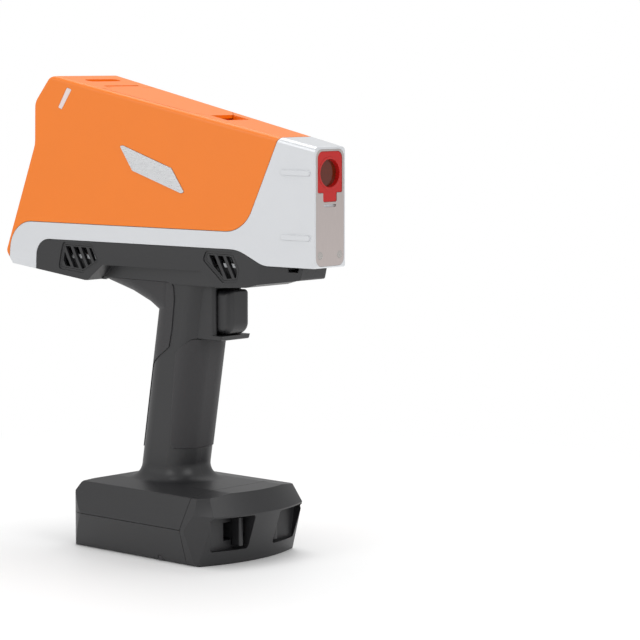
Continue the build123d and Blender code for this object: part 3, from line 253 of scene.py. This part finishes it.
def glossy_plastic(name, base, rough=0.16, ior=1.5, tone=0.03):
    """Polished injection moulding: clear highlights with a faint orange-peel."""
    material, tree, shader = new_material(name)
    drive_surface(tree, shader, base, 2.5, 0.01, rough, 0.03, tone, 0.3)
    shader.inputs["IOR"].default_value = ior
    return material


def dress(material, *nodes):
    """Give CAD nodes one material in every slot."""
    for name in nodes:
        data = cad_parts[name].data
        data.materials.clear()
        data.materials.append(material)


# ---------------------------------------------------------------- operators


class ANALYZER_OT_head(Operator):
    """Finish the orange cover, silver nose housing, door and side badges"""

    bl_idname = "analyzer.head"
    bl_label = "Head"

    def execute(self, context):
        colours = context.scene.analyzer_colours
        cover = spark_textured_plastic("orange_moulded_cover", tuple(colours.orange), 0.4, 0.5, 0.008, 0.02)
        dress(cover, "upper_cover", "port_door")
        dress(silver_lacquered_plastic("silver_flake_lacquer", tuple(colours.silver)), "nose_housing")
        dress(
            brushed_metal("bare_silver_badge", "#DADBDD", (8.0, 0.4, 0.4), 0.28, 0.8),
            "name_plate_left",
            "name_plate_right",
        )
        lens = glossy_plastic("frosted_light_window", linear("#E6D6D4"), 0.25)
        dress(lens, "status_window_left", "status_window_right")
        return {"FINISHED"}


class ANALYZER_OT_nose(Operator):
    """Finish the measuring face: steel plate, red window carrier and amber film"""

    bl_idname = "analyzer.nose"
    bl_label = "Measuring face"

    def execute(self, context):
        colours = context.scene.analyzer_colours
        # the plate's colour is the steel's own grey with a pink tint that is painted reflection of the orange
        # cover
        dress(brushed_metal("brushed_stainless_plate_painted_reflection", "#C9BFBC", (6.0, 0.35, 9.0), 0.34), "nose_plate")
        dress(glossy_plastic("red_window_carrier", tuple(colours.carrier), 0.3), "window_carrier")
        dress(glossy_plastic("amber_polyimide_film", linear("#5A1A02"), 0.12), "window_film")
        dress(brushed_metal("stainless_screws", "#BDB9B6", (0.5, 0.5, 0.5), 0.28), "nose_plate_screws")
        return {"FINISHED"}


class ANALYZER_OT_display(Operator):
    """Finish the display end: bezel, bonded glass and silicone keys"""

    bl_idname = "analyzer.display"
    bl_label = "Display end"

    def execute(self, context):
        colours = context.scene.analyzer_colours
        dress(spark_textured_plastic("black_bezel_moulding", tuple(colours.black), 0.4), "display_bezel")
        dress(glossy_plastic("black_bonded_glass", linear("#0B0C0E"), 0.05, 1.52, 0.2), "touch_glass")
        dress(
            soft_rubber("silicone_keys", linear("#3A3A3D"), 0.5, 0.01),
            "power_button",
            "left_key",
            "home_key",
            "right_key",
        )
        dress(soft_rubber("foam_gasket", linear("#151515")), "display_gasket", "door_seal")
        dress(
            brushed_metal("folded_shield_can", "#A9ABAE", (4.0, 4.0, 4.0), 0.4),
            "display_module",
            "high_voltage_supply",
        )
        return {"FINISHED"}


class ANALYZER_OT_handle(Operator):
    """Finish the handle, trigger, vents, foot and battery pack"""

    bl_idname = "analyzer.handle"
    bl_label = "Handle and foot"

    def execute(self, context):
        colours = context.scene.analyzer_colours
        shell = spark_textured_plastic("black_grained_shell", tuple(colours.black), 0.43, 0.55, 0.02, 0.06)
        dress(
            shell,
            "grip_shell_left",
            "grip_shell_right",
            "foot_base",
            "trigger",
            "vent_grille_front_left",
            "vent_grille_front_right",
            "vent_grille_rear_left",
            "vent_grille_rear_right",
            "battery_case",
            "battery_cap",
            "battery_latch_left",
            "battery_latch_right",
            "battery_terminal_block",
            "trigger_switch",
            "port_tray",
        )
        dress(soft_rubber("soft_grip_rubber", tuple(colours.rubber)), "front_grip_insert", "rear_grip_insert")
        dress(
            brushed_metal("black_oxide_screws", "#4A494B", (0.5, 0.5, 0.5), 0.35),
            "shell_screws",
            "sole_screws",
        )
        dress(brushed_metal("gold_plated_contacts", "#D9B25F", (0.4, 3.0, 0.4), 0.25), "battery_contacts")
        return {"FINISHED"}


class ANALYZER_OT_inside(Operator):
    """Finish what is inside the head and under the port door"""

    bl_idname = "analyzer.inside"
    bl_label = "Inside"

    def execute(self, context):
        dress(
            brushed_metal("milled_aluminium", "#C4C6C8", (6.0, 1.0, 6.0), 0.36),
            "chassis",
            "heat_sink",
            "measurement_block",
            "tube_cradle",
        )
        dress(glossy_plastic("green_solder_mask", linear("#0D4A24"), 0.3), "main_board", "keypad_board")
        dress(
            brushed_metal("drawn_bright_steel", "#B4B4B6", (5.0, 0.5, 0.5), 0.25),
            "x_ray_tube",
            "detector",
            "door_hinge_pin",
            "usb_sockets",
            "trigger_spring",
        )
        return {"FINISHED"}


class ANALYZER_OT_stage(Operator):
    """Set the pale floor, the soft studio light and the camera"""

    bl_idname = "analyzer.stage"
    bl_label = "Stage"

    def execute(self, context):
        stage = context.scene.analyzer_stage
        scene = context.scene

        # the floor lies just under the foot and turns to plain white away from it
        floor_size = 6.0
        floor_gap = 0.0002
        shadow_reach = 0.16
        white_from = 0.5
        side = np.linspace(-floor_size / 2, floor_size / 2, 2)
        x, y = np.meshgrid(side, side)
        corners = np.column_stack([x.ravel(), y.ravel(), np.full(4, -floor_gap)])
        data = bpy.data.meshes.new("floor")
        data.from_pydata(corners.tolist(), [], [(0, 1, 3, 2)])
        floor = bpy.data.objects.new("floor", data)
        scene.collection.objects.link(floor)
        material, tree, shader = new_material("white_studio_floor")
        shader.inputs["Base Color"].default_value = linear("#FAFAFA")
        shader.inputs["Roughness"].default_value = 0.55
        shader.inputs["Specular IOR Level"].default_value = 0.25
        place = add_node(tree, "ShaderNodeTexCoord").outputs["Object"]
        distance = add_node(tree, "ShaderNodeVectorMath", {0: place}, operation="LENGTH")
        fade = add_node(
            tree,
            "ShaderNodeMapRange",
            {"Value": distance.outputs["Value"], "From Min": shadow_reach, "From Max": white_from},
        )
        ray = add_node(tree, "ShaderNodeLightPath")
        seen = add_node(
            tree,
            "ShaderNodeMath",
            {0: ray.outputs["Is Camera Ray"], 1: ray.outputs["Is Glossy Ray"]},
            operation="MAXIMUM",
        )
        share = add_node(
            tree,
            "ShaderNodeMath",
            {0: fade.outputs["Result"], 1: seen.outputs["Value"]},
            operation="MULTIPLY",
        )
        white = add_node(tree, "ShaderNodeEmission", {"Color": (1, 1, 1, 1), "Strength": 1.0})
        blend = add_node(
            tree,
            "ShaderNodeMixShader",
            {0: share.outputs["Value"], 1: shader.outputs["BSDF"], 2: white.outputs["Emission"]},
        )
        output = next(node for node in tree.nodes if node.type == "OUTPUT_MATERIAL")
        tree.links.new(blend.outputs["Shader"], output.inputs["Surface"])
        data.materials.append(material)

        world = bpy.data.worlds.new("white_room")
        world.use_nodes = True
        tree = world.node_tree
        tree.nodes.clear()
        ray = add_node(tree, "ShaderNodeLightPath")
        seen = add_node(
            tree,
            "ShaderNodeMath",
            {0: ray.outputs["Is Camera Ray"], 1: ray.outputs["Is Transmission Ray"]},
            operation="MAXIMUM",
        )
        strength = add_node(
            tree,
            "ShaderNodeMix",
            {"Factor": seen.outputs["Value"], "A": stage.world_strength, "B": 1.0},
            data_type="FLOAT",
        )
        sky = add_node(tree, "ShaderNodeBackground", {"Color": (1, 1, 1, 1), "Strength": strength.outputs[0]})
        add_node(tree, "ShaderNodeOutputWorld", {"Surface": sky.outputs["Background"]})
        scene.world = world

        lamps = (
            # name, place, size across and up, power
            ("overhead_softbox", (-0.25, 0.25, 1.3), (1.2, 0.9), stage.key_power),
            ("nose_softbox", (1.25, -0.15, 0.75), (0.7, 0.9), stage.fill_power),
            ("side_softbox", (-0.5, -1.35, 0.8), (0.8, 0.9), stage.fill_power),
        )
        middle = Vector((0, 0, 0.16))
        for name, spot, spread, power in lamps:
            light = bpy.data.lights.new(name, "AREA")
            light.shape = "RECTANGLE"
            light.size, light.size_y = spread
            light.energy = power
            lamp = bpy.data.objects.new(name, light)
            lamp.location = spot
            lamp.rotation_euler = (middle - Vector(spot)).to_track_quat("-Z", "Y").to_euler()
            scene.collection.objects.link(lamp)

        camera_data = bpy.data.cameras.new("camera")
        camera_data.lens = stage.lens
        camera_data.sensor_width = 36.0
        camera = bpy.data.objects.new("camera", camera_data)
        camera.location = stage.camera_place
        camera.rotation_euler = (math.pi / 2 - stage.camera_dip, 0.0, stage.camera_azimuth)
        scene.collection.objects.link(camera)
        scene.camera = camera
        scene.view_settings.view_transform = "Standard"
        return {"FINISHED"}


OPERATORS = (
    ANALYZER_OT_head,
    ANALYZER_OT_nose,
    ANALYZER_OT_display,
    ANALYZER_OT_handle,
    ANALYZER_OT_inside,
    ANALYZER_OT_stage,
)


class ANALYZER_PT_looks(Panel):
    """Colours of the analyzer, the stage's lights and camera, and the steps that dress it"""

    bl_idname = "ANALYZER_PT_looks"
    bl_label = "XRF Analyzer"
    bl_space_type = "VIEW_3D"
    bl_region_type = "UI"
    bl_category = "Analyzer"

    def draw(self, context):
        for group in (context.scene.analyzer_colours, context.scene.analyzer_stage):
            box = self.layout.box()
            for name in group.bl_rna.properties.keys():
                if name not in ("rna_type", "name"):
                    box.prop(group, name)
        for operator in OPERATORS:
            self.layout.operator(operator.bl_idname)


CLASSES = (AnalyzerColours, AnalyzerStage, *OPERATORS, ANALYZER_PT_looks)


def register():
    for cls in CLASSES:
        bpy.utils.register_class(cls)
    bpy.types.Scene.analyzer_colours = PointerProperty(type=AnalyzerColours)
    bpy.types.Scene.analyzer_stage = PointerProperty(type=AnalyzerStage)


def unregister():
    del bpy.types.Scene.analyzer_stage
    del bpy.types.Scene.analyzer_colours
    for cls in reversed(CLASSES):
        bpy.utils.unregister_class(cls)


def main():
    register()
    for operator in OPERATORS:
        group, name = operator.bl_idname.split(".")
        getattr(getattr(bpy.ops, group), name)()


if __name__ == "__main__":
    main()
